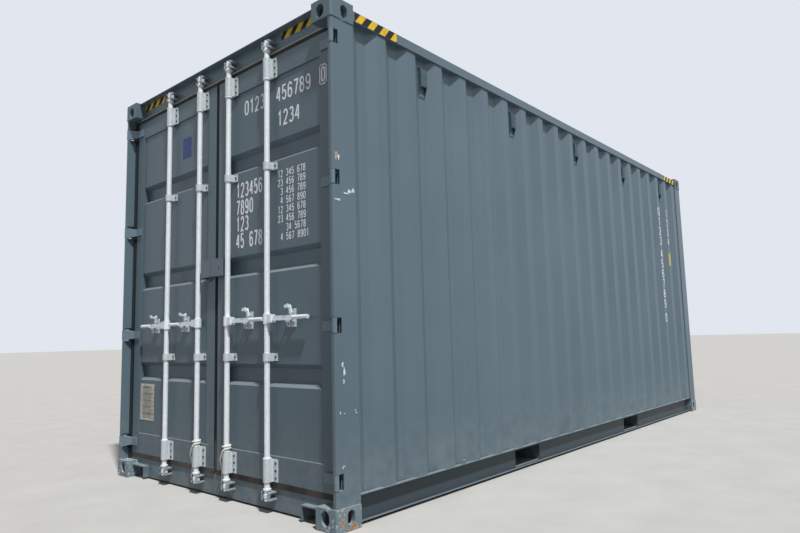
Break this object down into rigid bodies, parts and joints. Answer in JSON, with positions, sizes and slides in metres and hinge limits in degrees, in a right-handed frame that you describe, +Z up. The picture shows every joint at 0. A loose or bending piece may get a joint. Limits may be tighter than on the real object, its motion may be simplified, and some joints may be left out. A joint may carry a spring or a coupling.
{
  "type": "shipping container",
  "caption": "Twenty foot high cube dry freight container in blue-grey paint, with corrugated walls and a pair of rear doors held by locking bars.",
  "frame": {"origin": "centre of the bounding box in plan, at the underside of the bottom corner castings", "axes": "+X along the length towards the closed front end, with the doors at -X; +Y towards the left-hand side; +Z up"},
  "size_m": [6.058, 2.438, 2.896],
  "materials": {
    "blue_grey_paint": "satin, worn",
    "galvanised_steel": "galvanised, dull",
    "dark_steel": "satin, worn",
    "ventilator_grey": "matte",
    "black_rubber": "matte",
    "plywood": "sealed, worn",
    "plate_metal": "dull",
    "nylon_rope": "matte"
  },
  "bodies": {
    "container": {"castings_bottom": "blue_grey_paint", "castings_top": "blue_grey_paint", "rear_post_right": "blue_grey_paint", "rear_post_left": "blue_grey_paint", "front_posts": "blue_grey_paint", "door_header": "blue_grey_paint", "door_sill": "blue_grey_paint", "top_rails": "blue_grey_paint", "bottom_rails": "blue_grey_paint", "side_wall_right": "blue_grey_paint", "side_wall_left": "blue_grey_paint", "front_wall": "blue_grey_paint", "roof_panel": "blue_grey_paint", "floor_boards": "plywood", "cross_members": "blue_grey_paint", "fork_pockets": "blue_grey_paint", "ventilators": "ventilator_grey", "cam_keepers": "galvanised_steel"},
    "right_door": {"door_frame_right": "blue_grey_paint", "door_panel_right": "blue_grey_paint", "door_gasket_right": "black_rubber", "hinge_blades_right": "blue_grey_paint", "bar_fittings_right": "galvanised_steel", "lock_box_right": "dark_steel", "tie_rope_right": "nylon_rope"},
    "left_door": {"door_frame_left": "blue_grey_paint", "door_panel_left": "blue_grey_paint", "door_gasket_left": "black_rubber", "hinge_blades_left": "blue_grey_paint", "bar_fittings_left": "galvanised_steel", "lock_box_left": "dark_steel", "data_plate": "plate_metal", "tie_rope_left": "nylon_rope"},
    "bar_1": {"locking_bar_1": "galvanised_steel"},
    "handle_1": {"bar_handle_1": "galvanised_steel"},
    "catch_1": {"handle_catch_1": "galvanised_steel"},
    "bar_2": {"locking_bar_2": "galvanised_steel"},
    "handle_2": {"bar_handle_2": "galvanised_steel"},
    "catch_2": {"handle_catch_2": "galvanised_steel"},
    "bar_3": {"locking_bar_3": "galvanised_steel"},
    "handle_3": {"bar_handle_3": "galvanised_steel"},
    "catch_3": {"handle_catch_3": "galvanised_steel"},
    "bar_4": {"locking_bar_4": "galvanised_steel"},
    "handle_4": {"bar_handle_4": "galvanised_steel"},
    "catch_4": {"handle_catch_4": "galvanised_steel"}
  },
  "joints": [
    {"name": "right_door_hinge", "type": "hinge", "parent": "container", "child": "right_door", "pos_m": [-3.013, -1.203, 1.4585], "axis": [0, 0, 1], "range_deg": [0, 265]},
    {"name": "left_door_hinge", "type": "hinge", "parent": "container", "child": "left_door", "pos_m": [-3.013, 1.203, 1.4585], "axis": [0, 0, -1], "range_deg": [0, 265]},
    {"name": "bar_1_turn", "type": "hinge", "parent": "left_door", "child": "bar_1", "pos_m": [-2.989, 0.59, 1.115], "axis": [0, 0, -1], "range_deg": [-110, 0]},
    {"name": "handle_1_lift", "type": "hinge", "parent": "bar_1", "child": "handle_1", "pos_m": [-2.989, 0.632, 1.115], "axis": [-1, 0, 0], "range_deg": [-10, 0]},
    {"name": "catch_1_swing", "type": "hinge", "parent": "left_door", "child": "catch_1", "pos_m": [-2.9725, 0.79, 1.145], "axis": [-1, 0, 0], "range_deg": [0, 105]},
    {"name": "bar_2_turn", "type": "hinge", "parent": "left_door", "child": "bar_2", "pos_m": [-2.989, 0.175, 1.115], "axis": [0, 0, -1], "range_deg": [-110, 0]},
    {"name": "handle_2_lift", "type": "hinge", "parent": "bar_2", "child": "handle_2", "pos_m": [-2.989, 0.217, 1.115], "axis": [-1, 0, 0], "range_deg": [-10, 0]},
    {"name": "catch_2_swing", "type": "hinge", "parent": "left_door", "child": "catch_2", "pos_m": [-2.9725, 0.375, 1.145], "axis": [-1, 0, 0], "range_deg": [0, 105]},
    {"name": "bar_3_turn", "type": "hinge", "parent": "right_door", "child": "bar_3", "pos_m": [-2.989, -0.175, 1.115], "axis": [0, 0, 1], "range_deg": [-110, 0]},
    {"name": "handle_3_lift", "type": "hinge", "parent": "bar_3", "child": "handle_3", "pos_m": [-2.989, -0.217, 1.115], "axis": [1, 0, 0], "range_deg": [-10, 0]},
    {"name": "catch_3_swing", "type": "hinge", "parent": "right_door", "child": "catch_3", "pos_m": [-2.9725, -0.375, 1.145], "axis": [1, 0, 0], "range_deg": [0, 105]},
    {"name": "bar_4_turn", "type": "hinge", "parent": "right_door", "child": "bar_4", "pos_m": [-2.989, -0.59, 1.115], "axis": [0, 0, 1], "range_deg": [-110, 0]},
    {"name": "handle_4_lift", "type": "hinge", "parent": "bar_4", "child": "handle_4", "pos_m": [-2.989, -0.632, 1.115], "axis": [1, 0, 0], "range_deg": [-10, 0]},
    {"name": "catch_4_swing", "type": "hinge", "parent": "right_door", "child": "catch_4", "pos_m": [-2.9725, -0.79, 1.145], "axis": [1, 0, 0], "range_deg": [0, 105]}
  ]
}
